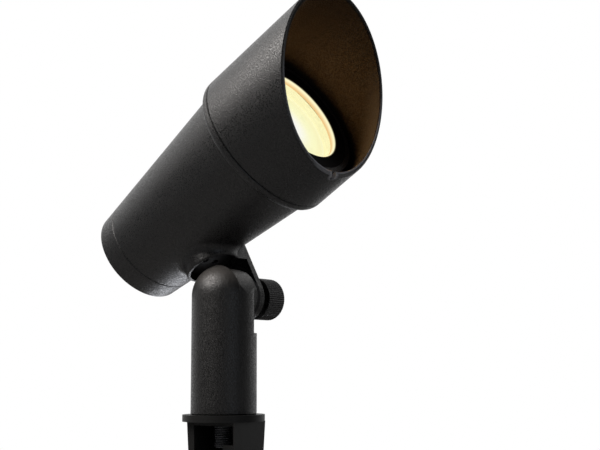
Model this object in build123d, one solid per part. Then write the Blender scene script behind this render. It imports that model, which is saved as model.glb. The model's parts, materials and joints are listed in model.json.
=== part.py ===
from build123d import *
import os
from math import cos, radians, sin, sqrt

# Garden spike spotlight, in millimetres.
# The origin is the centre of the underside of the spike's flange, which lies on the soil.
# +Z is up along the stem, the light shines towards -Y and the knob is on the +X side.
os.makedirs("parts", exist_ok=True)

# Fits and clearances
running_fit = 0.06       # radial, a shaft that turns in its hole
thread_fit = 0.08        # radial, a thread modelled as a plain cylinder
face_gap = 0.1           # between flat faces that turn on each other
swing_gap = 0.3          # between curved faces that move past each other
seat_gap = 0.2           # radial, a fixed piece in its seat
same_place = 0.01        # two places nearer than this are the same

# Stem
stem_radius = 15.0
pivot_height = 56.5
stem_bore_radius = 9.5
stem_floor = 9.0         # thickness of the foot that the nipple screws into
foot_chamfer = 0.4
nipple_radius = 4.2      # hollow threaded tube that joins the stem to the spike
nipple_bore_radius = 2.6
nipple_reach = 11.7      # how far it stands out below the flange's underside
dome_cut = -5.0          # where the dome steps down to the arch, along X
arch_height = 12.8
flat_face = 4.6          # the flat that the head's ear swings past
flat_depth = 17.0        # how far the flat reaches below the pivot
boss_radius = 12.6
boss_face = 8.3
pad_radius = 10.2
pad_face = 11.6
wire_way_radius = 2.9
wire_way_offset = 8.4
wire_way_overlap = 4.0

# Pivot
washer_thickness = 1.6
ear_thickness = 3.0
knob_washer_radius = 7.6
knob_washer_thickness = 1.6
screw_radius = 3.0
insert_radius = 5.0
insert_length = 13.0
stud_room = 1.5          # hole's end beyond the screw's
knob_hub_radius = 6.0
knob_hub_length = 2.4
knob_radius = 9.9
knob_length = 11.4
knob_edge = 1.6
knob_ribs = 60
rib_depth = 0.32

# Radii that the head is built up from, outwards from the standard lamp
lamp_radius = 25.0
lamp_ring_width = 2.3
lamp_shell_step = 1.8    # the lamp's shell inside its rim
ledge_gap = 0.7          # between the shell and the ledge that the lamp's rim sits on
lens_margin = 4.0        # the cover glass beyond the lamp
nose_wall = 2.5
collar_step = 5.0        # the collar beyond the nose that the shroud screws onto
barrel_step = 3.5        # the barrel's front inside the collar
shroud_taper = 1.0       # the shroud's tip inside its rear edge
ring_aperture = lamp_radius - lamp_ring_width
lamp_shell_radius = lamp_radius - lamp_shell_step
nose_ledge_radius = lamp_shell_radius + ledge_gap
lens_radius = lamp_radius + lens_margin
nose_radius = lens_radius + seat_gap + nose_wall
collar_radius = nose_radius + collar_step
barrel_front_radius = collar_radius - barrel_step
shroud_tip_radius = collar_radius - shroud_taper

# Head: lengths along its own axis start at the pivot's plane and run forward
head_elevation = 28.5    # degrees above the horizontal
head_offset = 48.0       # head axis above the pivot, square to the axis
rear_radius = 24.35
rear_length = 39.6
cap_length = 11.7
collar_start = 53.0
collar_end = 57.3
collar_round = 2.6
wall = 3.0
seam_chamfer = 0.35
seam_gap = 0.3

# Neck and ear of the housing
neck_radius = 12.7
neck_draft = 3.0         # degrees, the cast neck widens towards the barrel
neck_bore_radius = 11.2
neck_clear = 15.35       # neck's rim above the pivot
neck_flare = 4.5
neck_edge = 0.6
root_reach = 2.5         # the root's edge lies this near to the neck's radius
ear_radius = 10.2
grommet_depth = 4.0
grommet_thickness = 5.0
lead_radius = 1.6

# Rear cap
cap_spigot_radius = 21.6
cap_spigot_length = 8.0
cap_spigot_wall = 2.8
cap_floor = 3.0
cap_edge = 0.8
oring_section = 0.8      # radius of the sealing rings' section
oring_groove = 2.2       # width of their grooves
oring_sides = 8          # the section's corners
oring_setback = 2.5      # front groove's middle ahead of the shroud's rear face

# Nose of the housing and what sits in it
nose_ledge_start = 62.5
hollow_end = 45.0        # where the hollow starts to close in on the ledge
lamp_seat = 66.9
gasket_thickness = 1.2
gasket_width = 5.0
lens_thickness = 3.0
ring_front = 76.9
ring_bevel = 0.9

# Shroud
shroud_wall = 2.2
shroud_top = 121.5
shroud_bottom = 79.7
shroud_thread_end = 66.0
lip_bevel = 0.4
notch_radius = 1.3
notch_depth = 2.6

# Lamp
lamp_rim = 2.5
lamp_shell_wall = 1.6
lamp_tail_radius = 11.5
lamp_cone_length = 26.0
lamp_fins = 18
lamp_fin_thickness = 1.3
lamp_fin_height = 1.7
lamp_fin_length = 18.0
lamp_base_radius = 8.8
lamp_base_length = 9.0
lamp_lens_thickness = 1.9
board_depth = 8.0        # board's back below the lamp's seat
board_thickness = 1.2
led_size = 3.4
led_height = 0.7
led_ring_radius = 10.5
led_count = 6
pin_radius = 0.75
pin_pitch = 5.33
pin_length = 7.0

# Lamp holder
socket_width = 17.0
socket_height = 9.5
socket_depth = 10.0
socket_round = 1.5
pin_entry = 5.0          # how deep the pins go in
contact_wall = 0.35
contact_length = 5.0
bracket_thickness = 1.2
tab_width = 8.0
tab_height = 6.0
boss_pitch_radius = 21.6
bracket_boss_radius = 3.6
bracket_boss_length = 7.0
bracket_screw_radius = 1.5
bracket_screw_head = 2.8
bracket_screw_length = 6.0
screw_head_height = 1.6

# Spike
flange_radius = 18.7
flange_thickness = 3.0
plate_depth = 1.6        # top plate's underside below the flange's
spike_turn = 7.5         # degrees, how the screwed-on spike happens to stand
hub_side = 12.1
hub_front = 14.6
hub_back = 11.5
hub_wall = 2.2
hub_length = 38.0
hub_draft = 1.5          # how far each side draws in over the hub's length
hub_floor = 3.0
window_depth = 31.0
window_back_frame = 3.9
window_front_frame = 0.9
sill_depth = 9.8         # top of the sill below the flange's underside
sill_width = 6.4
blade_thickness = 3.2
blade_length = 166.0
blade_tip = 2.2
point_length = 9.0


def turned(*outline):
    """solid of revolution about Z, from (radius, height) corners"""
    face = make_face(Plane.XZ * Polyline(*outline, close=True))
    return revolve(face, Axis.Z)


def ring(inner, outer, low, high):
    """plain ring about Z"""
    return turned((inner, low), (outer, low), (outer, high), (inner, high))


def disc(radius, low, high):
    """plain disc about Z"""
    return Pos(0, 0, low) * extrude(Circle(radius), high - low)


def rod_x(radius, low, high):
    """cylinder along X through the pivot"""
    end = Plane(origin=(low, 0, pivot_height), x_dir=(0, 1, 0), z_dir=(1, 0, 0))
    return extrude(end * Circle(radius), high - low)


def ring_x(inner, outer, low, high):
    """plain ring along X about the pivot"""
    return rod_x(outer, low, high) - rod_x(inner, low - 1, high + 1)


def rims(solid, radius, height):
    """circular edges of one radius at one height on the Z axis"""
    circles = solid.edges().filter_by(GeomType.CIRCLE)
    circles = [e for e in circles if abs(e.radius - radius) < same_place]
    return [e for e in circles if abs(e.arc_center.Z - height) < same_place]


# Frame of the head: its z runs forward along the barrel and its y is up from the pivot
tilt = radians(head_elevation)
head_origin = (0, head_offset * sin(tilt), pivot_height + head_offset * cos(tilt))
head_frame = Plane(origin=head_origin, x_dir=(1, 0, 0), z_dir=(0, -cos(tilt), sin(tilt)))

washer_face = pad_face + face_gap + washer_thickness
ear_inner = washer_face + face_gap
ear_outer = ear_inner + ear_thickness
knob_washer_inner = ear_outer + face_gap
knob_washer_outer = knob_washer_inner + knob_washer_thickness
knob_hub_start = knob_washer_outer + face_gap
knob_start = knob_hub_start + knob_hub_length
knob_end = knob_start + knob_length

# Places along the head's axis, from the rear cap to the shroud
cap_seam = cap_length - rear_length
cap_bore_end = cap_seam + cap_spigot_length + 1
lamp_front = lamp_seat + lamp_rim
lens_shelf = lamp_front + face_gap
lens_back = lens_shelf + gasket_thickness
lens_front = lens_back + lens_thickness
shroud_start = collar_end + seam_gap
oring_place = shroud_start + oring_setback
cap_oring_place = cap_seam + cap_spigot_length / 2
lamp_tail = lamp_seat - lamp_cone_length
base_end = lamp_tail - lamp_base_length
pins_end = base_end - pin_length
socket_front = pins_end + pin_entry
socket_back = socket_front - socket_depth
bracket_back = socket_back - bracket_thickness

nodes = {}
foot = flange_thickness + face_gap


def make_stem():
    column = disc(stem_radius, foot, pivot_height)
    # dome on the far side from the knob, cut off square where the arch begins
    dome = Pos(0, 0, pivot_height) * Sphere(stem_radius)
    beyond = Pos(dome_cut + stem_radius, 0, pivot_height)
    dome = dome - beyond * Box(2 * stem_radius, 3 * stem_radius, 3 * stem_radius)
    # arch between the dome and the flat
    arch_plane = Plane(origin=(dome_cut, 0, pivot_height), x_dir=(0, 1, 0), z_dir=(1, 0, 0))
    arch = extrude(arch_plane * Ellipse(stem_radius, arch_height), flat_face - dome_cut)
    arch = arch & disc(stem_radius, pivot_height - 1, pivot_height + stem_radius)
    body = column + dome + arch
    # flat that the ear swings past, with the shoulder that ends it
    flat_height = flat_depth + stem_radius
    flat_middle = pivot_height - flat_depth + flat_height / 2
    flat = Pos(flat_face + stem_radius, 0, flat_middle)
    body = body - flat * Box(2 * stem_radius, 3 * stem_radius, flat_height)
    body = body + rod_x(boss_radius, 0, boss_face) + rod_x(pad_radius, 0, pad_face)
    # hollow for the leads, from the foot to a way out through the arch
    bore_top = pivot_height - flat_depth - wall / 2
    body = body - disc(stem_bore_radius, foot + stem_floor, bore_top)
    body = body - disc(nipple_radius + thread_fit, foot - 1, foot + stem_floor + 1)
    wire_way = disc(wire_way_radius, bore_top - wire_way_overlap, pivot_height + stem_radius)
    body = body - Pos(0, wire_way_offset, 0) * wire_way
    # seat of the insert, then the screw's own clearance
    body = body - rod_x(insert_radius, insert_start, flat_face)
    body = body - rod_x(screw_radius + thread_fit, insert_start - stud_room, pad_face + 1)
    return chamfer(rims(body, stem_radius, foot), foot_chamfer)


insert_start = flat_face - insert_length
nodes["stem"] = make_stem()
nodes["pivot_insert"] = ring_x(screw_radius + thread_fit, insert_radius, insert_start, flat_face)
nodes["friction_washer"] = ring_x(screw_radius + swing_gap, pad_radius, pad_face + face_gap, washer_face)
nodes["nipple"] = ring(nipple_bore_radius, nipple_radius, -nipple_reach, foot + stem_floor)


def make_knob():
    # ribbed rim: a star outline with one tip and one valley for each rib
    tip, valley = Vector(knob_radius, 0), Vector(knob_radius - rib_depth, 0)
    outline = []
    for step in range(knob_ribs):
        outline.append(tip.rotate(Axis.Z, 360 * step / knob_ribs))
        outline.append(valley.rotate(Axis.Z, 360 * (step + 0.5) / knob_ribs))
    end = Plane(origin=(knob_start, 0, pivot_height), x_dir=(0, 1, 0), z_dir=(1, 0, 0))
    ribbed = extrude(end * make_face(Polyline(*outline, close=True)), knob_length)
    # blank just clear of the tips, whose two steps round the outer end
    blank = rod_x(knob_radius + rib_depth, knob_start, knob_end)
    rim = blank.edges().filter_by(GeomType.CIRCLE).sort_by(Axis.X)[-1]
    blank = chamfer(rim, knob_edge, knob_edge / 2)
    rim = blank.edges().filter_by(GeomType.CIRCLE).sort_by(Axis.X)[-1]
    blank = chamfer(rim, knob_edge / 2)
    body = (ribbed & blank) + rod_x(knob_hub_radius, knob_hub_start, knob_start + 1)
    return body - rod_x(screw_radius + running_fit, knob_hub_start - 1, screw_end)


screw_end = knob_end - wall
nodes["knob"] = make_knob()
nodes["pivot_screw"] = rod_x(screw_radius, insert_start, screw_end)
nodes["knob_washer"] = ring_x(screw_radius + swing_gap, knob_washer_radius, knob_washer_inner,
                              knob_washer_outer)


def barrel_radius(place):
    """outer radius of the tapered barrel at a place along the head"""
    taper = (barrel_front_radius - rear_radius) / (collar_start + rear_length)
    return rear_radius + taper * (place + rear_length)


def make_housing():
    cone_start, cone_end = barrel_radius(cap_seam), barrel_radius(collar_start)
    shell = turned((0, cap_seam), (cone_start, cap_seam), (cone_end, collar_start),
                   (collar_radius, collar_start), (collar_radius, collar_end),
                   (nose_radius, collar_end), (nose_radius, ring_front - face_gap),
                   (0, ring_front - face_gap))
    shell = fillet(rims(shell, collar_radius, collar_start), collar_round)
    shell = chamfer(rims(shell, cone_start, cap_seam), seam_chamfer)
    shell = chamfer(rims(shell, collar_radius, collar_end), seam_chamfer)
    # neck, square to the barrel, reaching down towards the pivot
    neck_plane = Plane(origin=(0, neck_clear - head_offset, 0), x_dir=(1, 0, 0), z_dir=(0, 1, 0))
    neck_height = head_offset - neck_clear
    neck = extrude(neck_plane * Circle(neck_radius), neck_height, taper=-neck_draft)
    neck = chamfer(neck.edges().filter_by(GeomType.CIRCLE).sort_by(Axis.Y)[0], neck_edge)
    body = shell + neck
    root = [e for e in body.edges().filter_by(GeomType.LINE, reverse=True)
            if abs(sqrt(e.center().X ** 2 + e.center().Z ** 2) - neck_radius) < root_reach
            and neck_clear - head_offset + 2 < e.center().Y < 0]
    body = fillet(root, neck_flare)
    # ear: a flat tongue down the neck's side with a round end about the pivot
    core = turned((0, cap_seam), (cone_start - 1, cap_seam), (cone_end - 1, collar_start), (0, collar_start))
    ear_plane = Plane(origin=(ear_inner, -head_offset, 0), x_dir=(0, 1, 0), z_dir=(1, 0, 0))
    tongue = Pos(head_offset / 2, 0) * Rectangle(head_offset, 2 * ear_radius)
    ear = extrude(ear_plane * (tongue + Circle(ear_radius)), ear_thickness)
    root_width = ear_outer - neck_radius / 2
    ear_root = Pos(ear_outer - root_width / 2, -neck_height / 2, 0)
    ear = ear + ear_root * Box(root_width, neck_height, 2 * ear_radius)
    body = body + (ear - core)
    # hollow for the lamp and its holder
    cap_bore = cap_spigot_radius + seat_gap
    lens_bore = lens_radius + seat_gap
    body = body - turned((0, cap_seam - 1), (cap_bore, cap_seam - 1), (cap_bore, cap_bore_end),
                         (barrel_radius(cap_bore_end) - wall, cap_bore_end + 1),
                         (barrel_radius(hollow_end) - wall, hollow_end),
                         (nose_ledge_radius, nose_ledge_start), (nose_ledge_radius, lamp_seat),
                         (lamp_radius + seat_gap, lamp_seat), (lamp_radius + seat_gap, lens_shelf),
                         (lens_bore, lens_shelf), (lens_bore, ring_front + 1), (0, ring_front + 1))
    body = body - extrude(neck_plane.offset(-1) * Circle(neck_bore_radius), neck_height + 1)
    pivot_plane = Plane(origin=(0, -head_offset, 0), x_dir=(0, 1, 0), z_dir=(1, 0, 0))
    body = body - extrude(pivot_plane * Circle(screw_radius + running_fit), ear_outer + 1)
    # two bosses inside, which the socket's bracket is screwed to
    boss_start = bracket_back - bracket_boss_length
    for side in (-1, 1):
        boss = Pos(side * boss_pitch_radius, 0, 0) * disc(bracket_boss_radius, boss_start, bracket_back)
        arm = Pos(side * (boss_pitch_radius + bracket_boss_radius), 0, bracket_back - bracket_boss_length / 2)
        boss = boss + arm * Box(2 * bracket_boss_radius, 2 * bracket_boss_radius, bracket_boss_length)
        screw_hole = disc(bracket_screw_radius, bracket_back - bracket_screw_length, bracket_back)
        body = body + ((boss & core) - Pos(side * boss_pitch_radius, 0, 0) * screw_hole)
    groove = ring(nose_radius - 2 * oring_section, nose_radius + 1,
                  oring_place - oring_groove / 2, oring_place + oring_groove / 2)
    return body - groove


def make_rear_cap():
    inner = cap_spigot_radius - cap_spigot_wall
    seam_radius = barrel_radius(cap_seam)
    cap = turned((0, -rear_length), (rear_radius, -rear_length), (seam_radius, cap_seam),
                 (cap_spigot_radius, cap_seam), (cap_spigot_radius, cap_seam + cap_spigot_length),
                 (inner, cap_seam + cap_spigot_length), (inner, cap_floor - rear_length),
                 (0, cap_floor - rear_length))
    cap = chamfer(rims(cap, rear_radius, -rear_length), cap_edge)
    cap = chamfer(rims(cap, seam_radius, cap_seam), seam_chamfer)
    return cap - ring(cap_spigot_radius - 2 * oring_section, cap_spigot_radius + 1,
                      cap_oring_place - oring_groove / 2, cap_oring_place + oring_groove / 2)


def make_shroud():
    taper = (collar_radius - shroud_tip_radius) / (shroud_top - shroud_start)
    thread_bore = nose_radius + thread_fit
    inner_start = collar_radius - taper * (shroud_thread_end - shroud_start) - shroud_wall
    inner_end = shroud_tip_radius - shroud_wall
    shell = turned((thread_bore, shroud_start), (collar_radius, shroud_start),
                   (shroud_tip_radius, shroud_top + 1), (inner_end, shroud_top + 1),
                   (inner_start, shroud_thread_end), (thread_bore, shroud_thread_end))
    shell = chamfer(rims(shell, collar_radius, shroud_start), seam_chamfer)
    # mouth cut on the bevel, long at the top and short at the bottom
    slope = (shroud_top - shroud_bottom) / (2 * shroud_tip_radius)
    mouth = Plane(origin=(0, 0, (shroud_top + shroud_bottom) / 2), x_dir=(1, 0, 0), z_dir=(0, -slope, 1))
    shell = split(shell, bisect_by=mouth, keep=Keep.BOTTOM)
    lip = shell.faces().sort_by(Axis(mouth.origin, mouth.z_dir))[-1]
    shell = chamfer(lip.edges(), lip_bevel)
    # drain notch in the lowest point of the lip
    notch = Plane(origin=(0, 0, shroud_bottom), x_dir=(1, 0, 0), z_dir=(0, -1, 0))
    outline = Rectangle(2 * notch_radius, 2 * (notch_depth - notch_radius))
    outline = outline + Pos(0, notch_radius - notch_depth) * Circle(notch_radius)
    return shell - extrude(notch * outline, 2 * collar_radius)


def make_oring(path, place):
    """sealing ring round a circle of the path's radius"""
    section = Pos(path, place) * RegularPolygon(oring_section, oring_sides)
    return revolve(Plane.XZ * section, Axis.Z)


def make_lens_ring():
    outer = lens_radius + seat_gap - thread_fit
    return turned((ring_aperture, lens_front), (outer, lens_front), (outer, ring_front),
                  (ring_aperture + ring_bevel, ring_front), (ring_aperture, ring_front - ring_bevel))


def make_grommet():
    start = neck_clear + grommet_depth - head_offset
    plane = Plane(origin=(0, start, 0), x_dir=(1, 0, 0), z_dir=(0, 1, 0))
    outline = Circle(neck_bore_radius - seat_gap)
    for side in (-1, 1):
        outline = outline - Pos(side * 2 * lead_radius, 0) * Circle(lead_radius)
    return extrude(plane * outline, grommet_thickness)


def shell_radius(place):
    """outer radius of the lamp's tapered shell"""
    return lamp_tail_radius + (lamp_shell_radius - lamp_tail_radius) * (place - lamp_tail) / lamp_cone_length


def make_lamp_body():
    floor = lamp_seat - board_depth
    body = turned((0, lamp_tail), (lamp_tail_radius, lamp_tail), (lamp_shell_radius, lamp_seat),
                  (lamp_shell_radius - lamp_shell_wall, lamp_seat),
                  (shell_radius(floor) - lamp_shell_wall, floor), (0, floor))
    fin_end = lamp_tail + lamp_fin_length
    outline = Polyline((lamp_tail_radius / 2, lamp_tail), (lamp_tail_radius + lamp_fin_height, lamp_tail),
                       (shell_radius(fin_end) + lamp_fin_height, fin_end),
                       (shell_radius(fin_end), fin_end + 2 * lamp_fin_height),
                       (lamp_tail_radius / 2, fin_end), close=True)
    fin = extrude(Plane.XZ * make_face(outline), lamp_fin_thickness / 2, both=True)
    cavity = turned((0, floor), (shell_radius(floor) - lamp_shell_wall, floor),
                    (lamp_shell_radius - lamp_shell_wall, lamp_seat), (0, lamp_seat))
    for turn in range(lamp_fins):
        body = body + Rot(0, 0, 360 * turn / lamp_fins) * fin
    return body - cavity


def make_leds():
    chips = Part()
    for turn in range(led_count):
        place = Rot(0, 0, 360 * turn / led_count) * Pos(led_ring_radius, 0, board_front + led_height / 2)
        chips = chips + place * Box(led_size, led_size, led_height)
    return chips


def on_pins(radius, low, high):
    """the same rod on both pins' axes"""
    rod = disc(radius, low, high)
    return Pos(-pin_pitch / 2, 0, 0) * rod + Pos(pin_pitch / 2, 0, 0) * rod


def make_socket():
    block = Pos(0, 0, (socket_back + socket_front) / 2) * Box(socket_width, socket_height, socket_depth)
    block = fillet(block.edges().filter_by(Axis.Z), socket_round)
    return block - on_pins(contact_outer + running_fit, socket_front - pin_entry - 1, socket_front + 1)


def make_contacts():
    start = socket_front - contact_length
    return on_pins(contact_outer, start, socket_front) - on_pins(contact_inner, start - 1, socket_front + 1)


def make_bracket():
    outline = SlotCenterToCenter(2 * boss_pitch_radius, 2 * bracket_boss_radius)
    outline = outline + Rectangle(socket_width, socket_height + 2 * bracket_thickness)
    for side in (-1, 1):
        outline = outline - Pos(side * boss_pitch_radius, 0) * Circle(bracket_screw_radius + running_fit)
    bracket = Pos(0, 0, bracket_back) * extrude(outline, bracket_thickness)
    for side in (-1, 1):
        tab = Pos(0, side * (socket_height + bracket_thickness) / 2, socket_back + tab_height / 2)
        bracket = bracket + tab * Box(tab_width, bracket_thickness, tab_height)
    return bracket


def make_bracket_screws():
    screws = Part()
    for side in (-1, 1):
        screw = disc(bracket_screw_radius, bracket_back - bracket_screw_length, socket_back)
        screw = screw + disc(bracket_screw_head, socket_back, socket_back + screw_head_height)
        screws = screws + Pos(side * boss_pitch_radius, 0, 0) * screw
    return screws


board_front = lamp_seat - board_depth + board_thickness
contact_inner = pin_radius + running_fit
contact_outer = contact_inner + contact_wall
gasket_inner = lens_radius - gasket_width

head_nodes = {
    "housing": make_housing(),
    "wire_grommet": make_grommet(),
    "rear_cap": make_rear_cap(),
    "rear_cap_oring": make_oring(cap_spigot_radius - oring_section, cap_oring_place),
    "shroud": make_shroud(),
    "shroud_oring": make_oring(nose_radius - oring_section, oring_place),
    "lens_gasket": ring(gasket_inner, lens_radius, lens_shelf, lens_back),
    "lens_glass": disc(lens_radius, lens_back, lens_front),
    "lens_retaining_ring": make_lens_ring(),
    "lamp_body": make_lamp_body(),
    "lamp_board": disc(shell_radius(lamp_seat - board_depth) - lamp_shell_wall - face_gap,
                       lamp_seat - board_depth, board_front),
    "lamp_leds": make_leds(),
    "lamp_lens": disc(lamp_radius - lamp_ring_width - face_gap, lamp_front - lamp_lens_thickness, lamp_front),
    "lamp_front_ring": ring(lamp_radius - lamp_ring_width, lamp_radius, lamp_seat, lamp_front),
    "lamp_base": disc(lamp_base_radius, base_end, lamp_tail),
    "lamp_pins": on_pins(pin_radius, pins_end, base_end),
    "lamp_socket": make_socket(),
    "socket_contacts": make_contacts(),
    "socket_bracket": make_bracket(),
    "socket_screws": make_bracket_screws(),
}
for name, solid in head_nodes.items():
    nodes[name] = head_frame * solid


def hub_section(inset, height):
    """rectangle of the tapered hub at a height, drawn in by a wall"""
    draft = inset - hub_draft * height / hub_length
    middle = (hub_back - hub_front) / 2
    size = Rectangle(2 * (hub_side - draft), hub_front + hub_back - 2 * draft)
    return Pos(0, middle, height) * size


def make_spike():
    hub = loft([hub_section(0, 0), hub_section(0, -hub_length)])
    room = loft([hub_section(hub_wall, -plate_depth), hub_section(hub_wall, hub_floor - hub_length)])
    body = (hub - room) + disc(flange_radius, 0, flange_thickness)
    body = body - disc(nipple_radius + thread_fit, -plate_depth - 1, flange_thickness + 1)
    # cable window in the -X side, with a sill across its lower front corner
    window_low = -window_depth
    front_edge, back_edge = window_front_frame - hub_front, hub_back - window_back_frame
    sill_edge = sill_width - hub_front
    outline = Polyline((front_edge, -plate_depth), (back_edge, -plate_depth), (back_edge, window_low),
                       (sill_edge, window_low), (sill_edge, -sill_depth), (front_edge, -sill_depth),
                       close=True)
    window_plane = Plane(origin=(2 * hub_wall - hub_side, 0, 0), x_dir=(0, 1, 0), z_dir=(1, 0, 0))
    body = body - extrude(window_plane * make_face(outline), -2 * hub_side)
    # ribbed blade: two crossed plates that taper to a point
    blade_start = hub_floor / 2 - hub_length
    blade_end = -hub_length - blade_length
    for plane, low, high in ((Plane.XZ, hub_draft - hub_side, hub_side - hub_draft),
                             (Plane.YZ, hub_draft - hub_front, hub_back - hub_draft)):
        outline = Polyline((low, blade_start), (high, blade_start), (blade_tip, blade_end),
                           (0, blade_end - point_length), (-blade_tip, blade_end), close=True)
        body = body + extrude(plane * make_face(outline), blade_thickness / 2, both=True)
    return Rot(0, 0, spike_turn) * body


nodes["spike"] = make_spike()

for name, solid in nodes.items():
    export_step(solid, f"parts/{name}.step")
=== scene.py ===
import json
from math import cos, radians, sin, tau

import bpy
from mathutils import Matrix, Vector


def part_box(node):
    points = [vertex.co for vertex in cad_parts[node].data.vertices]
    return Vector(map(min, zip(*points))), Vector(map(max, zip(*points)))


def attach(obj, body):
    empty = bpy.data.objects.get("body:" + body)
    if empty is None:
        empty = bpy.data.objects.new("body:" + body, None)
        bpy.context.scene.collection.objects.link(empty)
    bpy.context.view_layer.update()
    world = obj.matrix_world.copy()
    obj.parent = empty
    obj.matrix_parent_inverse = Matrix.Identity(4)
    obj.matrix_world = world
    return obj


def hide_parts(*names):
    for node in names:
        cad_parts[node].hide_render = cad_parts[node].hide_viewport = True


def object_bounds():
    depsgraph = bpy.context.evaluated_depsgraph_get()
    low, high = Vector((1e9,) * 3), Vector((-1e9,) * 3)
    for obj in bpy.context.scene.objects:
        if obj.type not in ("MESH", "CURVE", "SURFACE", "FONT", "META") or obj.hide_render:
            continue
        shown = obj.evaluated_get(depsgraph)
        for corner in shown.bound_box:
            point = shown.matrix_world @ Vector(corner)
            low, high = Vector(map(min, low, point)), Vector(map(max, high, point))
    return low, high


# garden spike spotlight: finishes, thread, seals, floor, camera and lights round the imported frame
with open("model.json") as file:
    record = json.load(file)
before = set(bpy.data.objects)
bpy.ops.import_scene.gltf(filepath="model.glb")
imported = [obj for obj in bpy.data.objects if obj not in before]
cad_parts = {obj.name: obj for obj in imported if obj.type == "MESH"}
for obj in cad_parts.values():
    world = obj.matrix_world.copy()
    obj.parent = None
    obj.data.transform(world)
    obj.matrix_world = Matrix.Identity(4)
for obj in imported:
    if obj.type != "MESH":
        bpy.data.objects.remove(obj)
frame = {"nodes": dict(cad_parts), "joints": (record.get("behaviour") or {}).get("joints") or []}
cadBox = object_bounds()
nodes = frame["nodes"]
joints = {joint["name"]: joint for joint in frame["joints"]}
print("frame loaded:", len(nodes), "nodes")

# the head's own axes: forward out of the lamp, up away from the pivot
headPlace = Vector(joints["shroud_turn"]["pos_m"])
headForward = Vector(joints["shroud_turn"]["axis"]).normalized()
headSide = Vector((1, 0, 0))
headUp = headForward.cross(headSide)


def onHead(side, up, forward):
    # a point given along the head's own axes, in metres
    return headPlace + headSide * side + headUp * up + headForward * forward


class Wire:
    # one socket; sums on it become Math nodes in the same tree
    def __init__(self, finish, socket):
        self.finish = finish
        self.socket = socket

    def __add__(self, other):
        return self.finish.maths("ADD", self, other)

    def __sub__(self, other):
        return self.finish.maths("SUBTRACT", self, other)

    def __rsub__(self, other):
        return self.finish.maths("SUBTRACT", other, self)

    def __mul__(self, other):
        return self.finish.maths("MULTIPLY", self, other)

    __radd__ = __add__
    __rmul__ = __mul__


def asColour(value):
    return value if isinstance(value, Wire) else (*value, 1.0)


class Finish:
    # the node tree of one material, or of the world
    def __init__(self, name, owner=None):
        self.owner = owner or bpy.data.materials.new(name)
        self.owner.use_nodes = True
        self.tree = self.owner.node_tree
        self.tree.nodes.clear()

    def add(self, kind, settings=None, inputs=None, out=None):
        node = self.tree.nodes.new(kind)
        for name, value in (settings or {}).items():
            setattr(node, name, value)
        for name, value in (inputs or {}).items():
            if isinstance(name, int):
                socket = node.inputs[name]
            else:
                socket = next(s for s in node.inputs if s.enabled and s.name == name)
            if isinstance(value, Wire):
                self.tree.links.new(value.socket, socket)
            else:
                socket.default_value = value
        outputs = [s for s in node.outputs if s.enabled and out in (None, s.name)]
        return Wire(self, outputs[0]) if outputs else None

    def maths(self, operation, *values):
        return self.add("ShaderNodeMath", {"operation": operation}, dict(enumerate(values)))

    def larger(self, first, second):
        return self.maths("MAXIMUM", first, second)

    def vectors(self, operation, first, second, out="Value"):
        return self.add("ShaderNodeVectorMath", {"operation": operation}, {0: first, 1: second}, out)

    def mix(self, factor, first, second):
        inputs = {"Factor": factor, "A": asColour(first), "B": asColour(second)}
        return self.add("ShaderNodeMix", {"data_type": "RGBA"}, inputs)

    def place(self):
        return self.add("ShaderNodeTexCoord", out="Object")

    def along(self, direction, origin):
        # distance from a point along a direction, in metres
        offset = self.vectors("SUBTRACT", self.place(), origin, out="Vector")
        return self.vectors("DOT_PRODUCT", offset, direction)

    def fromAxis(self):
        # distance from the head's axis
        across = self.along(headSide, headPlace)
        upward = self.along(headUp, headPlace)
        return self.maths("SQRT", across * across + upward * upward)

    def near(self, point, core, edge):
        # 1 within core of a point, 0 beyond edge
        return self.fade(self.vectors("DISTANCE", self.place(), point), edge, core)

    def noise(self, size, detail=2.0, stretch=(1, 1, 1)):
        # size is that of one blotch, in metres
        spread = self.add("ShaderNodeMapping", inputs={"Vector": self.place(), "Scale": stretch})
        inputs = {"Vector": spread, "Scale": 1 / size, "Detail": detail}
        return self.add("ShaderNodeTexNoise", inputs=inputs)

    def fade(self, value, start, end):
        # 0 at start, 1 at end, smooth between
        inputs = {"Value": value, "From Min": start, "From Max": end}
        return self.add("ShaderNodeMapRange", {"interpolation_type": "SMOOTHSTEP"}, inputs)

    def bump(self, height, depth, under=None):
        inputs = {"Height": height, "Distance": depth, "Strength": 1.0}
        if under:
            inputs["Normal"] = under
        return self.add("ShaderNodeBump", inputs=inputs)

    def rays(self):
        # 1 for what the eye sees straight on or through glass, and 1 for what gloss mirrors
        seen = self.add("ShaderNodeLightPath", out="Is Camera Ray")
        through = self.add("ShaderNodeLightPath", out="Is Transmission Ray")
        mirrored = self.add("ShaderNodeLightPath", out="Is Glossy Ray")
        return self.larger(seen, through), mirrored

    def principled(self, inputs):
        return self.add("ShaderNodeBsdfPrincipled", inputs=inputs)

    def output(self, shader):
        self.add("ShaderNodeOutputMaterial", inputs={"Surface": shader})
        return self.owner

    def surface(self, inputs):
        return self.output(self.principled(inputs))


# powder coat on the castings: black, finely pebbled, with pale dust on its grain and glossier specks
powderCoat = {
    "colour": (0.0026, 0.0026, 0.0030),
    "dusty": (0.013, 0.0120, 0.0112),
    "roughness": 0.41,
    "roughnessSpread": 0.08,
    "specular": 0.48,
    "grain": {"size": 0.00038, "detail": 1.0},
    "grainDepth": 0.00010,
    "pebble": {"size": 0.0008, "detail": 2.0},
    "pebbleDepth": 0.00010,
    "cloud": {"size": 0.022, "detail": 3.0},
    "cloudShare": 0.65,
    "specks": {"start": 0.5, "end": 0.68},
    "grainShare": 0.6,
    "glint": 0.34,
    "glintSpot": {"size": 0.000456, "detail": 0.0},
    "glintSpan": {"start": 0.35, "end": 0.65},
}


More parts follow.
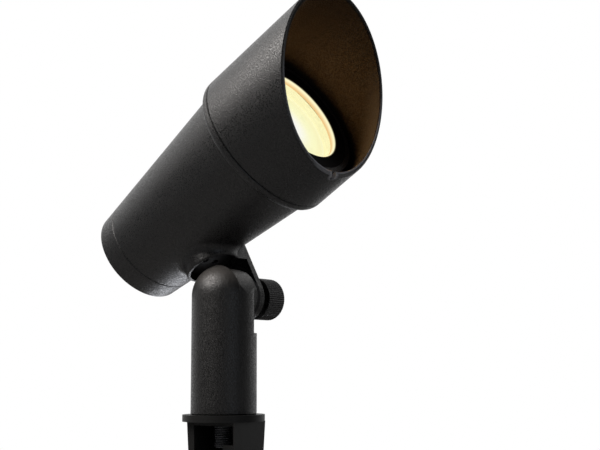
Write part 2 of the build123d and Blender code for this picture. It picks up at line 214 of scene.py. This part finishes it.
def powderShader(finish, look, mask=None, cover=None):
    # where the mask is 1, the cover's colour hides the coat's
    grain = finish.noise(**look["grain"])
    pebble = finish.noise(**look["pebble"])
    cloud = finish.noise(**look["cloud"])
    height = grain * look["grainShare"] + pebble * (1 - look["grainShare"])
    dust = finish.fade(height, **look["specks"]) * (1 - look["cloudShare"] + look["cloudShare"] * cloud)
    colour = finish.mix(dust, look["colour"], look["dusty"])
    if mask:
        colour = finish.mix(mask, colour, cover)
    glint = finish.fade(finish.noise(**look["glintSpot"]), **look["glintSpan"])
    roughness = look["roughness"] + (cloud - 0.5) * look["roughnessSpread"] + (0.5 - glint) * look["glint"]
    normal = finish.bump(grain, look["grainDepth"], finish.bump(pebble, look["pebbleDepth"]))
    return finish.principled({"Base Color": colour, "Roughness": roughness, "Normal": normal,
                              "Specular IOR Level": look["specular"]})


def makePowderCoat(name, look):
    finish = Finish(name)
    return finish.output(powderShader(finish, look))


# the same coat on the nipple's thread, painted paler: painted light on the thread inside the hub
paintedLightThreadCoat = {**powderCoat, "colour": (0.070, 0.073, 0.082), "dusty": (0.13, 0.13, 0.138), "roughness": 0.5}

# the stem's coat is duller, and what faces up, mostly its dome, is painted paler: a painted highlight of the
# light from above
stemCoat = {
    **powderCoat,
    "colour": (0.0026, 0.0025, 0.0025),
    "dusty": (0.015, 0.0136, 0.0120),
    "roughness": 0.47,
    "specular": 0.60,
    "glint": 0.32,
    "paintedTopHighlight": (0.085, 0.078, 0.072),
    "paintedTopHighlightSpan": {"start": 0.15, "end": 0.95},
}


def makeStemCoat(name, look):
    finish = Finish(name)
    # what faces up is painted paler: a painted highlight of the light from above
    normal = finish.add("ShaderNodeTexCoord", out="Normal")
    upward = finish.vectors("DOT_PRODUCT", normal, (0, 0, 1))
    paintedTopHighlight = finish.fade(upward, **look["paintedTopHighlightSpan"])
    return finish.output(powderShader(finish, look, paintedTopHighlight, look["paintedTopHighlight"]))


# the shroud's coat inside is flatted to cut glare, and tinted brown: painted warm lamplight
flatLampTintedCoat = {
    **powderCoat,
    "colour": (0.0045, 0.0026, 0.0012),
    "dusty": (0.010, 0.006, 0.003),
    "roughness": 0.7,
    "specular": 0.15,
    "grainDepth": 0.00003,
    "pebbleDepth": 0.00005,
}

# the shroud's mouth: its reach along the head at the top and bottom, and painted highlights round its lower
# side
shroudMouth = {
    "top": 0.1215,
    "bottom": 0.0797,
    "radius": 0.0357,
    "flatInside": {"start": 0.0352, "end": 0.0346},  # radii where the coats meet, within the wall
    "lowSide": {"start": 0.020, "end": -0.015},      # height off the head's axis
    "cutFace": {"start": 0.0775, "end": 0.0785},     # reach along the head where the cut face begins
    "innerEdge": {"start": 0.03415, "end": 0.0343},  # radii again, for the next three
    "paintedHighlightLine": {"start": 0.0348, "end": 0.0352},
    "outerEdge": {"start": 0.0361, "end": 0.0363},
    # painted highlight colours: the mouth's lower inner edge and cut face, and the drain notch
    "wearAndPaintedHighlight": (0.36, 0.36, 0.39),
    "notch": {"point": onHead(0, -0.03505, 0.07985), "core": 0.0016, "edge": 0.0040},
    "paintedNotchHighlight": (0.34, 0.34, 0.36),
    "paintedFaceHighlight": {"point": onHead(-0.0070, -0.0345, 0.0804), "core": 0.003, "edge": 0.009},
    "paintedFaceHighlightStrength": 0.4,
    "innerLowGrey": (0.05, 0.05, 0.056),
    "innerLowGreyDepth": 0.012,
    "innerLowGreyStrength": 0.7,
}


def makeShroudCoat(name, outside, inside, look):
    finish = Finish(name)
    radius = finish.fromAxis()
    lowSide = finish.fade(finish.along(headUp, headPlace), **look["lowSide"])
    # the cut face of the mouth: a painted highlight line along its inner edge on the lower side, a painted
    # highlight on the face beside the drain notch
    cutFace = finish.fade(finish.along(headForward, headPlace), **look["cutFace"])
    cutFace = cutFace * finish.fade(radius, **look["innerEdge"])
    line = cutFace * lowSide * (1 - finish.fade(radius, **look["paintedHighlightLine"]))
    face = cutFace * (1 - finish.fade(radius, **look["outerEdge"]))
    paintedFaceHighlight = face * finish.near(**look["paintedFaceHighlight"]) * look["paintedFaceHighlightStrength"]
    # a painted highlight on the drain notch too
    paintedNotchHighlight = finish.near(**look["notch"])
    wearAndPaintedHighlight = finish.larger(paintedNotchHighlight, finish.larger(line, paintedFaceHighlight))
    paintedHighlightColour = finish.mix(paintedNotchHighlight, look["wearAndPaintedHighlight"], look["paintedNotchHighlight"])
    # paler grey just inside the mouth, on its lower side
    slope = (look["top"] - look["bottom"]) / (2 * look["radius"])
    mouthNormal = (headForward - headUp * slope).normalized()
    mouthMiddle = onHead(0, 0, (look["top"] + look["bottom"]) / 2)
    reach = finish.fade(finish.along(mouthNormal, mouthMiddle), -look["innerLowGreyDepth"], 0)
    innerLowGrey = lowSide * reach * look["innerLowGreyStrength"]
    outer = powderShader(finish, outside, wearAndPaintedHighlight, paintedHighlightColour)
    inner = powderShader(finish, inside, finish.larger(wearAndPaintedHighlight, innerLowGrey), finish.mix(wearAndPaintedHighlight, look["innerLowGrey"], paintedHighlightColour))
    # inside the wall: the flatted coat, tinted brown as painted lamplight
    flatAndTinted = finish.fade(radius, **look["flatInside"])
    return finish.output(finish.add("ShaderNodeMixShader", inputs={0: flatAndTinted, 1: outer, 2: inner}))


# moulded plastic of the spike: matt, with faint flow streaks down its length and small scuffs
spikePlastic = {
    "colour": (0.0085, 0.0085, 0.0083),
    "paler": (0.014, 0.0138, 0.0134),
    "roughness": 0.5,
    "roughnessSpread": 0.12,
    "specular": 0.22,
    "grain": {"size": 0.0005, "detail": 2.0},
    "grainDepth": 0.00003,
    "streaks": {"size": 0.009, "detail": 2.0, "stretch": (1, 1, 0.12)},
    "streakShare": 0.5,
    "scuffs": {"size": 0.004, "detail": 4.0, "stretch": (1, 1, 0.3)},
    "scuffSpan": {"start": 0.62, "end": 0.72},
    "scuffShare": 0.4,
}


def makeMouldedPlastic(name, look):
    finish = Finish(name)
    streaks = finish.noise(**look["streaks"])
    scuffs = finish.fade(finish.noise(**look["scuffs"]), **look["scuffSpan"])
    paler = streaks * look["streakShare"] + scuffs * look["scuffShare"]
    roughness = look["roughness"] + (streaks - 0.5 + scuffs) * look["roughnessSpread"]
    return finish.surface({"Base Color": finish.mix(paler, look["colour"], look["paler"]),
                           "Roughness": roughness,
                           "Normal": finish.bump(finish.noise(**look["grain"]), look["grainDepth"]),
                           "Specular IOR Level": look["specular"]})


# rubber of the seals and grommet, with a bloom of fine powder
rubber = {
    "colour": (0.010, 0.010, 0.011),
    "bloom": (0.032, 0.032, 0.034),
    "roughness": 0.72,
    "roughnessSpread": 0.15,
    "specular": 0.3,
    "blotch": {"size": 0.003, "detail": 4.0},
    "blotchSpan": {"start": 0.45, "end": 0.75},
    "grain": {"size": 0.0003},
    "grainDepth": 0.00001,
}


def makeRubber(name, look):
    finish = Finish(name)
    bloom = finish.fade(finish.noise(**look["blotch"]), **look["blotchSpan"])
    return finish.surface({"Base Color": finish.mix(bloom, look["colour"], look["bloom"]),
                           "Roughness": look["roughness"] + bloom * look["roughnessSpread"],
                           "Normal": finish.bump(finish.noise(**look["grain"]), look["grainDepth"]),
                           "Specular IOR Level": look["specular"]})


# bare metals: fine turned or rolled marks and a blotched tarnish, which darken and roughen them
bareMetal = {
    "markSize": 0.0016,
    "markDetail": 3.0,
    "markDepth": 0.00001,
    "markShare": 0.2,
    "markRoughness": 0.14,
    "tarnish": {"size": 0.006, "detail": 4.0},
    "tarnishSpan": {"start": 0.5, "end": 0.72},
    "tarnishShare": 0.7,
    "tarnishRoughness": 0.12,
}
steel = {**bareMetal, "colour": (0.50, 0.50, 0.51), "darker": (0.34, 0.33, 0.32), "roughness": 0.3,
         "stretch": (1, 1, 14)}
brass = {**bareMetal, "colour": (0.66, 0.47, 0.20), "darker": (0.38, 0.25, 0.10), "roughness": 0.32,
         "stretch": (14, 1, 1)}
aluminium = {**bareMetal, "colour": (0.68, 0.68, 0.69), "darker": (0.48, 0.48, 0.49), "roughness": 0.42,
             "stretch": (1, 9, 9)}


def makeBareMetal(name, look):
    finish = Finish(name)
    marks = finish.noise(look["markSize"], look["markDetail"], look["stretch"])
    tarnish = finish.fade(finish.noise(**look["tarnish"]), **look["tarnishSpan"])
    darker = tarnish * look["tarnishShare"] + marks * look["markShare"]
    roughness = look["roughness"] + marks * look["markRoughness"] + tarnish * look["tarnishRoughness"]
    return finish.surface({"Base Color": finish.mix(darker, look["colour"], look["darker"]),
                           "Metallic": 1.0,
                           "Roughness": roughness,
                           "Normal": finish.bump(marks, look["markDepth"])})


# fine-grained pieces: unglazed ceramic of the lamp's base and holder, the white board, the light chips
fineGrained = {
    "grainDetail": 2.0,
    "grainDepth": 0.00001,
    "grainShare": 0.15,
    "roughnessSpread": 0.2,
    "blotch": {"size": 0.005, "detail": 4.0},
    "blotchSpan": {"start": 0.52, "end": 0.75},
    "blotchShare": 0.6,
}
ceramic = {**fineGrained, "colour": (0.78, 0.75, 0.68), "stain": (0.52, 0.47, 0.38), "roughness": 0.6,
           "grainSize": 0.0004}
boardWhite = {**fineGrained, "colour": (0.80, 0.80, 0.77), "stain": (0.66, 0.64, 0.55), "roughness": 0.35,
              "grainSize": 0.0008}
phosphor = {**fineGrained, "colour": (0.90, 0.66, 0.16), "stain": (0.78, 0.48, 0.08), "roughness": 0.55,
            "grainSize": 0.0003}


def makeFineGrained(name, look):
    finish = Finish(name)
    grain = finish.noise(look["grainSize"], look["grainDetail"])
    blotch = finish.fade(finish.noise(**look["blotch"]), **look["blotchSpan"])
    stained = blotch * look["blotchShare"] + grain * look["grainShare"]
    return finish.surface({"Base Color": finish.mix(stained, look["colour"], look["stain"]),
                           "Roughness": look["roughness"] + (grain - 0.5) * look["roughnessSpread"],
                           "Normal": finish.bump(grain, look["grainDepth"])})


# flat cover glass: nearly clear, with a trace of dust
coverGlass = {
    "colour": (0.90, 0.93, 0.92),
    "clear": 0.045,
    "dust": 0.05,
    "roughness": 0.04,
    "dustRoughness": 0.3,
    "bend": 1.45,
    "blotch": {"size": 0.0035, "detail": 5.0},
    "blotchSpan": {"start": 0.55, "end": 0.8},
}


def makeGlass(name, look):
    finish = Finish(name)
    dust = finish.fade(finish.noise(**look["blotch"]), **look["blotchSpan"])
    return finish.surface({"Base Color": asColour(look["colour"]),
                           "Alpha": look["clear"] + dust * look["dust"],
                           "Roughness": look["roughness"] + dust * look["dustRoughness"],
                           "IOR": look["bend"]})


# lit front of the lamp: nearly white in the middle, cream outside it, deeper cream near the rim
litFace = {
    "middle": (1.0, 1.0, 0.96),
    "cream": (0.99, 0.985, 0.60),
    "rim": (0.985, 0.93, 0.53),
    "edge": (0.99, 0.96, 0.60),
    "middleRadius": 0.005,
    "creamRadius": 0.0165,
    "rimRadius": 0.0208,
    "edgeRadius": 0.0222,
    "rimShare": 0.75,
    "ripple": {"size": 0.0014, "detail": 1.0},
    "rippleReach": 0.0006,
    "unlit": (0.03, 0.03, 0.02),
    "roughness": 0.35,
}


def makeLitFace(name, look):
    finish = Finish(name)
    radius = finish.fromAxis()
    ripple = (finish.noise(**look["ripple"]) - 0.5) * look["rippleReach"]
    towardsCream = finish.fade(radius + ripple, look["middleRadius"], look["creamRadius"])
    towardsRim = finish.fade(radius, look["creamRadius"], look["rimRadius"])
    towardsEdge = finish.fade(radius, look["rimRadius"], look["edgeRadius"])
    glow = finish.mix(towardsCream, look["middle"], look["cream"])
    glow = finish.mix(towardsRim * look["rimShare"], glow, look["rim"])
    glow = finish.mix(towardsEdge, glow, look["edge"])
    return finish.surface({"Base Color": asColour(look["unlit"]), "Roughness": look["roughness"],
                           "Emission Color": glow, "Emission Strength": 1.0})


# the lamp's metal rim and the seal in front of it, both flooded by the lamp
litTrim = {
    "roughness": 0.5,
    "blotch": {"size": 0.004, "detail": 2.0},
    "grain": {"size": 0.0006},
    "grainDepth": 0.00001,
}
litRim = {**litTrim, "glow": (0.99, 0.96, 0.56), "dimmer": (0.97, 0.91, 0.48), "colour": (0.10, 0.08, 0.05)}
litSeal = {**litTrim, "glow": (0.98, 0.95, 0.56), "dimmer": (0.97, 0.90, 0.47), "colour": (0.05, 0.045, 0.04)}


def makeLitTrim(name, look):
    finish = Finish(name)
    glow = finish.mix(finish.noise(**look["blotch"]), look["glow"], look["dimmer"])
    return finish.surface({"Base Color": asColour(look["colour"]), "Roughness": look["roughness"],
                           "Emission Color": glow, "Emission Strength": 1.0,
                           "Normal": finish.bump(finish.noise(**look["grain"]), look["grainDepth"])})


# the ring that holds the glass: dull black, its bore flooded by the lamp
lensRing = {
    "colour": (0.0014, 0.0013, 0.0015),
    "wearAndPaintedHighlight": (0.0045, 0.0045, 0.0048),
    "roughness": 0.5,
    "specular": 0.04,
    "front": (1.0, 0.94, 0.60),
    "back": (0.86, 0.56, 0.24),
    "unlit": (0, 0, 0),
    "bore": {"start": 0.022835, "end": 0.02333},    # radii over which the lit bore ends
    "depth": {"start": 0.0739, "end": 0.0762},      # from the glass to the lip, along the head
    "blotch": {"size": 0.002, "detail": 3.0},
    "grain": {"size": 0.0007},
    "grainDepth": 0.00004,
}


def makeLensRing(name, look):
    finish = Finish(name)
    lit = 1 - finish.fade(finish.fromAxis(), **look["bore"])
    depth = finish.fade(finish.along(headForward, headPlace), **look["depth"])
    glow = finish.mix(lit, look["unlit"], finish.mix(depth, look["back"], look["front"]))
    colour = finish.mix(finish.noise(**look["blotch"]), look["colour"], look["wearAndPaintedHighlight"])
    return finish.surface({"Base Color": colour, "Roughness": look["roughness"],
                           "Emission Color": glow, "Emission Strength": 1.0,
                           "Normal": finish.bump(finish.noise(**look["grain"]), look["grainDepth"]),
                           "Specular IOR Level": look["specular"]})


coated = makePowderCoat("black powder coat", powderCoat)
dullCoated = makeStemCoat("dull powder coat", stemCoat)
shroudBlack = makeShroudCoat("shroud powder coat", powderCoat, flatLampTintedCoat, shroudMouth)
threadBlack = makePowderCoat("thread coat painted paler as light", paintedLightThreadCoat)
moulded = makeMouldedPlastic("moulded spike plastic", spikePlastic)
seal = makeRubber("seal rubber", rubber)
plainSteel = makeBareMetal("plated steel", steel)
plainBrass = makeBareMetal("turned brass", brass)
castAluminium = makeBareMetal("lamp aluminium", aluminium)
holderCeramic = makeFineGrained("holder ceramic", ceramic)
board = makeFineGrained("circuit board", boardWhite)
chip = makeFineGrained("light chip", phosphor)
glass = makeGlass("cover glass", coverGlass)
litLens = makeLitFace("lit lamp face", litFace)
litFrontRing = makeLitTrim("lit lamp rim", litRim)
litGasket = makeLitTrim("lit lens seal", litSeal)
blackRing = makeLensRing("black lens ring", lensRing)
print("materials made")

nodeFinish = {
    "housing": coated, "rear_cap": coated, "knob": coated, "shroud": shroudBlack, "stem": dullCoated,
    "lens_retaining_ring": blackRing, "nipple": threadBlack, "spike": moulded, "knob_washer": moulded,
    "friction_washer": seal, "wire_grommet": seal, "rear_cap_oring": seal, "shroud_oring": seal,
    "lens_gasket": litGasket, "pivot_insert": plainBrass, "socket_contacts": plainBrass,
    "pivot_screw": plainSteel, "lamp_pins": plainSteel, "socket_bracket": plainSteel,
    "socket_screws": plainSteel, "lamp_body": castAluminium, "lamp_base": holderCeramic,
    "lamp_socket": holderCeramic, "lamp_board": board, "lamp_leds": chip, "lens_glass": glass,
    "lamp_lens": litLens, "lamp_front_ring": litFrontRing,
}
for name, node in nodes.items():
    for materialSlot in node.material_slots:
        materialSlot.material = nodeFinish[name]
print("finishes on the nodes")


def addMesh(name, points, faces, material):
    mesh = bpy.data.meshes.new(name)
    mesh.from_pydata(points, [], faces)
    mesh.materials.append(material)
    piece = bpy.data.objects.new(name, mesh)
    bpy.context.scene.collection.objects.link(piece)
    return piece


def addSmoothPiece(name, rings, material, body):
    # a closed loft: quads between rings of equal length, the last ring joined to the first
    count = len(rings[0])
    points = [point for ring in rings for point in ring]
    faces = []
    for row in range(len(rings)):
        low = row * count
        high = (row + 1) % len(rings) * count
        for step in range(count):
            after = (step + 1) % count
            faces.append((low + step, low + after, high + after, high + step))
    piece = addMesh(name, points, faces, material)
    piece.data.polygons.foreach_set("use_smooth", [True] * len(faces))
    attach(piece, body)
    return piece


def levelCircle(radius, sides, height):
    turns = [tau * side / sides for side in range(sides)]
    return [(radius * cos(turn), radius * sin(turn), height) for turn in turns]


# hollow threaded tube that joins the stem to the spike, in place of the plain one
threadedTube = {
    "pitch": 0.0010,
    "depth": 0.00055,
    "endDepth": 0.8,  # of the thread's depth, at either end
    "flank": 0.8,
    "wall": 0.0016,
    "sides": 64,
    "stepsPerTurn": 10,
}


def makeThreadedTube(look):
    low, high = (Vector(corner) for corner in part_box("nipple"))
    crest = (high.x - low.x) / 2
    steps = round((high.z - low.z) / look["pitch"] * look["stepsPerTurn"])
    rings = []
    for row in range(steps + 1):
        height = low.z + (high.z - low.z) * row / steps
        taper = max(0, 1 - min(height - low.z, high.z - height) / look["pitch"])
        ring = []
        for side in range(look["sides"]):
            angle = tau * side / look["sides"]
            turn = (height / look["pitch"] - side / look["sides"]) % 1
            groove = max(0, 1 - abs(2 * turn - 1) / look["flank"])
            radius = crest - look["depth"] * max(groove, look["endDepth"] * taper)
            ring.append((radius * cos(angle), radius * sin(angle), height))
        rings.append(ring)
    for height in (high.z, low.z):
        rings.append(levelCircle(crest - look["wall"], look["sides"], height))
    tube = addSmoothPiece("threaded_nipple", rings, threadBlack, "stem")
    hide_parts("nipple")


makeThreadedTube(threadedTube)
print("threaded nipple made")


# round sealing rings, with the thin flash line that moulding leaves on their inner side
sealRing = {"section": 0.0008, "flash": 0.00005, "sides": 96, "sectionSides": 20}


def makeSealRing(name, node, look):
    # its place along the head comes from the node's box
    low, high = (Vector(corner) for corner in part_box(node))
    centre = onHead(0, 0, ((low + high) / 2 - headPlace).dot(headForward))
    path = (high.x - low.x) / 2 - look["section"]
    rings = []
    for side in range(look["sides"]):
        angle = tau * side / look["sides"]
        outward = headSide * cos(angle) + headUp * sin(angle)
        ring = []
        for step in range(look["sectionSides"]):
            around = tau * step / look["sectionSides"]
            flash = look["flash"] if step == look["sectionSides"] // 2 else 0
            radius = look["section"] + flash
            offset = outward * (path + radius * cos(around)) + headForward * (radius * sin(around))
            ring.append(tuple(centre + offset))
        rings.append(ring)
    ringPiece = addSmoothPiece(name, rings, seal, "head")
    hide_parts(node)


makeSealRing("rear_cap_seal", "rear_cap_oring", sealRing)
makeSealRing("shroud_seal", "shroud_oring", sealRing)
print("seals made")


# floor: as pale to the eye near and far, lit by the lamps near the object and by itself far from it
floorLook = {
    "colour": (0.48, 0.48, 0.48),
    "shade": (0.45, 0.45, 0.45),
    "blotch": {"size": 0.3, "detail": 3.0},
    "roughness": 0.9,
    "specular": 0.1,
    "radius": 2.4,
    "sides": 96,
    "paler": 0.34,
    "own": 0.40,
    "ownFrom": 0.3,
    "ownTo": 1.6,
    "dark": (0, 0, 0),
    "lit": (1, 1, 1),
}


def makeFloor(look):
    height = cadBox[0][2]
    finish = Finish("pale floor")
    toEye, mirrored = finish.rays()
    far = 1 - finish.near((0, 0, height), look["ownFrom"], look["ownTo"])
    own = finish.larger(toEye, mirrored) * far * look["own"] + toEye * look["paler"]
    colour = finish.mix(finish.noise(**look["blotch"]), look["colour"], look["shade"])
    material = finish.surface({"Base Color": colour, "Roughness": look["roughness"],
                               "Specular IOR Level": look["specular"],
                               "Emission Color": finish.mix(own, look["dark"], look["lit"]),
                               "Emission Strength": 1.0})
    rim = levelCircle(look["radius"], look["sides"], height)
    floor = addMesh("floor", rim, [tuple(range(look["sides"]))], material)


makeFloor(floorLook)
print("floor made")


# camera, solved from the photograph's outlines; its turn is in degrees
cameraLook = {
    "place": (-0.341563, -0.325530, 0.021033),
    "turn": (98.2938, 0.2403, -50.5938),
    "lens": 61.25,
    "sensor": 36.0,
    "nearest": 0.01,
}


def makeCamera(look):
    data = bpy.data.cameras.new("camera")
    data.lens = look["lens"]
    data.sensor_width = look["sensor"]
    data.clip_start = look["nearest"]
    camera = bpy.data.objects.new("camera", data)
    camera.location = look["place"]
    camera.rotation_euler = [radians(angle) for angle in look["turn"]]
    bpy.context.scene.collection.objects.link(camera)
    bpy.context.scene.camera = camera
    right, up, back = camera.rotation_euler.to_matrix().transposed()
    return right, up, -back


viewRight, viewUp, viewForward = makeCamera(cameraLook)
print("camera placed")


# world: white to the eye; gloss mirrors it white behind the object and dim in front of it
worldLook = {
    "colour": (1, 1, 1),
    "shown": 1.0,
    "ambient": 0.05,
    "dim": 0.03,
    "behind": {"start": -0.1, "end": 0.8},
}


def makeWorld(look):
    world = bpy.data.worlds.new("studio")
    bpy.context.scene.world = world
    finish = Finish("studio", world)
    toEye, mirrored = finish.rays()
    direction = finish.add("ShaderNodeTexCoord", out="Generated")
    behind = finish.fade(finish.vectors("DOT_PRODUCT", direction, viewForward), **look["behind"])
    mirror = look["dim"] + (look["shown"] - look["dim"]) * behind
    strength = look["ambient"] + toEye * (look["shown"] - look["ambient"])
    strength = strength + mirrored * (1 - toEye) * (mirror - look["ambient"])
    inputs = {"Color": asColour(look["colour"]), "Strength": strength}
    background = finish.add("ShaderNodeBackground", inputs=inputs)
    finish.add("ShaderNodeOutputWorld", inputs={"Surface": background})


makeWorld(worldLook)
print("world made")


# lights: how far each stands off what it lights, along the view's right, up and forward, in metres
wholeObject = (0, -0.01, 0.08)
neckUnderside = (0, 0.035, 0.063)
studioLights = {
    "key": {"aim": wholeObject, "offset": (-0.36, 0.48, 0.0), "size": 0.3, "power": 2.1,
            "colour": (1.0, 0.95, 0.91)},
    "front": {"aim": wholeObject, "offset": (-0.36, 0.45, -0.16), "size": 0.40, "power": 3.2,
              "colour": (1.0, 0.96, 0.93)},
    "left": {"aim": wholeObject, "offset": (-0.46, 0.37, 0.06), "size": 0.3, "power": 0.4,
             "colour": (1.0, 0.96, 0.93)},
    "right": {"aim": wholeObject, "offset": (0.32, 0.13, -0.5), "size": 0.3, "power": 0.2,
              "colour": (0.80, 0.88, 1.0)},
    "low": {"aim": neckUnderside, "offset": (0.015, -0.11, 0.102), "size": 0.08, "power": 0.085,
            "colour": (0.92, 0.94, 1.0)},
}

# the lamp's own light on the inside of the shroud
lampGlow = {"place": onHead(0, 0, 0.0745), "size": 0.040, "power": 0.036, "colour": (1.0, 0.50, 0.14)}


def addAreaLight(name, place, facing, look, shape="SQUARE"):
    data = bpy.data.lights.new(name, "AREA")
    data.shape = shape
    data.size = look["size"]
    data.energy = look["power"]
    data.color = look["colour"]
    light = bpy.data.objects.new(name, data)
    light.location = place
    light.rotation_euler = facing.to_track_quat("-Z", "Y").to_euler()
    light.visible_camera = False
    bpy.context.scene.collection.objects.link(light)
    return light


for name, look in studioLights.items():
    aside, above, beyond = look["offset"]
    offset = viewRight * aside + viewUp * above + viewForward * beyond
    addAreaLight(name, Vector(look["aim"]) + offset, -offset, look)

glowLight = addAreaLight("lampGlow", lampGlow["place"], headForward, lampGlow, "DISK")
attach(glowLight, "head")
print("lights made")

bpy.context.scene.view_settings.view_transform = "Standard"
